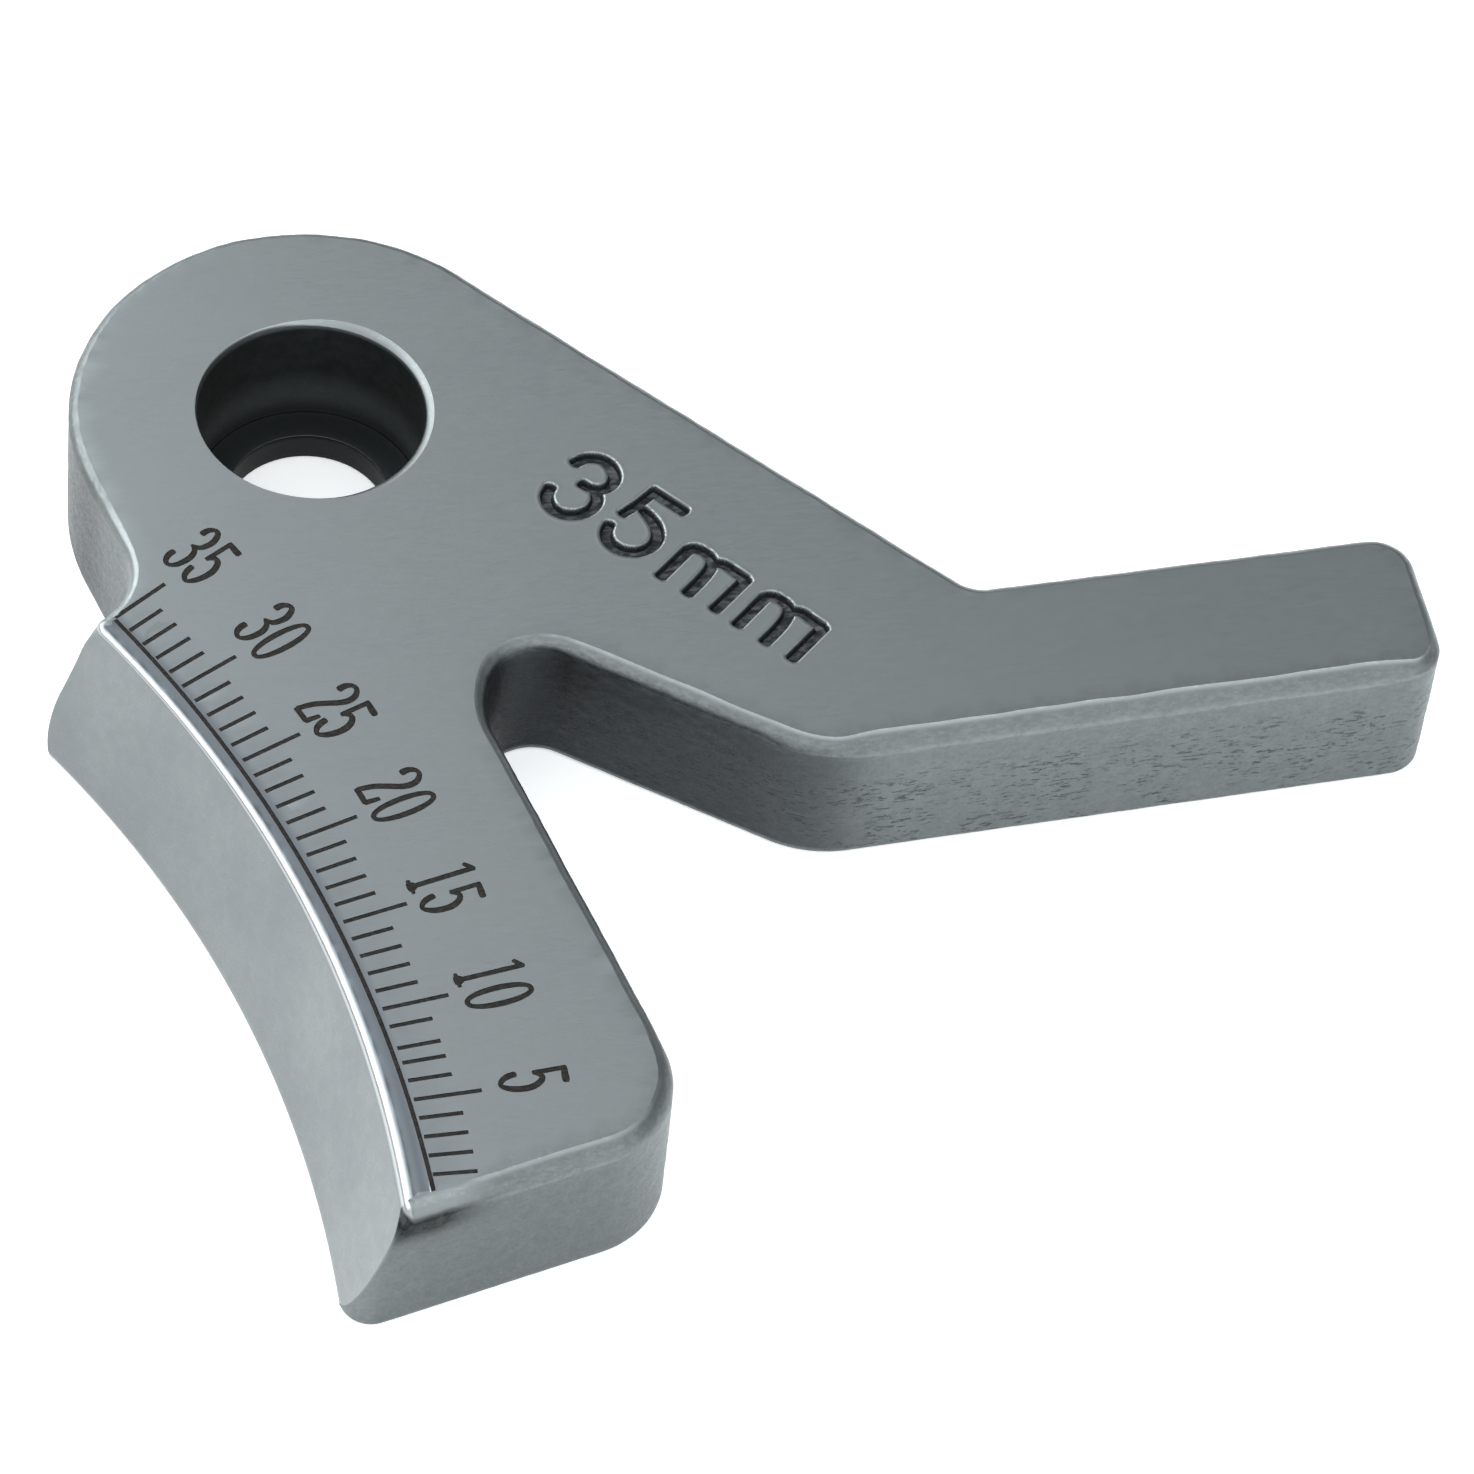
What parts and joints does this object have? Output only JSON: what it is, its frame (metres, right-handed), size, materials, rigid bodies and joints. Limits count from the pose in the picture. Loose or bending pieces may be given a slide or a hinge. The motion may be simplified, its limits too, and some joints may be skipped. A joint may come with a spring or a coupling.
{
  "type": "graduated pivot arm",
  "caption": "Flat steel arm with a stepped pivot bore, a concave bevelled jaw carrying a millimetre scale, and a cranked tail, in one piece.",
  "frame": {"origin": "on the pivot bore's axis, in the plane of the underside, at the mouth of the through hole", "axes": "+Z along the bore axis, from the underside towards the scale face; +X along the tail, towards its free end; the jaw lies towards -Y"},
  "size_m": [0.0627, 0.0565, 0.0078],
  "materials": {
    "steel": "satin, ground scale face",
    "mark_black": "matte black marking paint",
    "size_black": "matte black residue on the groove floor"
  },
  "bodies": {
    "root": {"steel_arm": "steel", "scale_base_line_fill": "mark_black", "scale_long_mark_fill": "mark_black", "scale_short_mark_fill": "mark_black", "numeral_05_fill": "mark_black", "numeral_10_fill": "mark_black", "numeral_15_fill": "mark_black", "numeral_20_fill": "mark_black", "numeral_25_fill": "mark_black", "numeral_30_fill": "mark_black", "numeral_35_fill": "mark_black", "size_digit_3_fill": "size_black", "size_digit_5_fill": "size_black", "size_letter_m1_fill": "size_black", "size_letter_m2_fill": "size_black"}
  },
  "joints": []
}
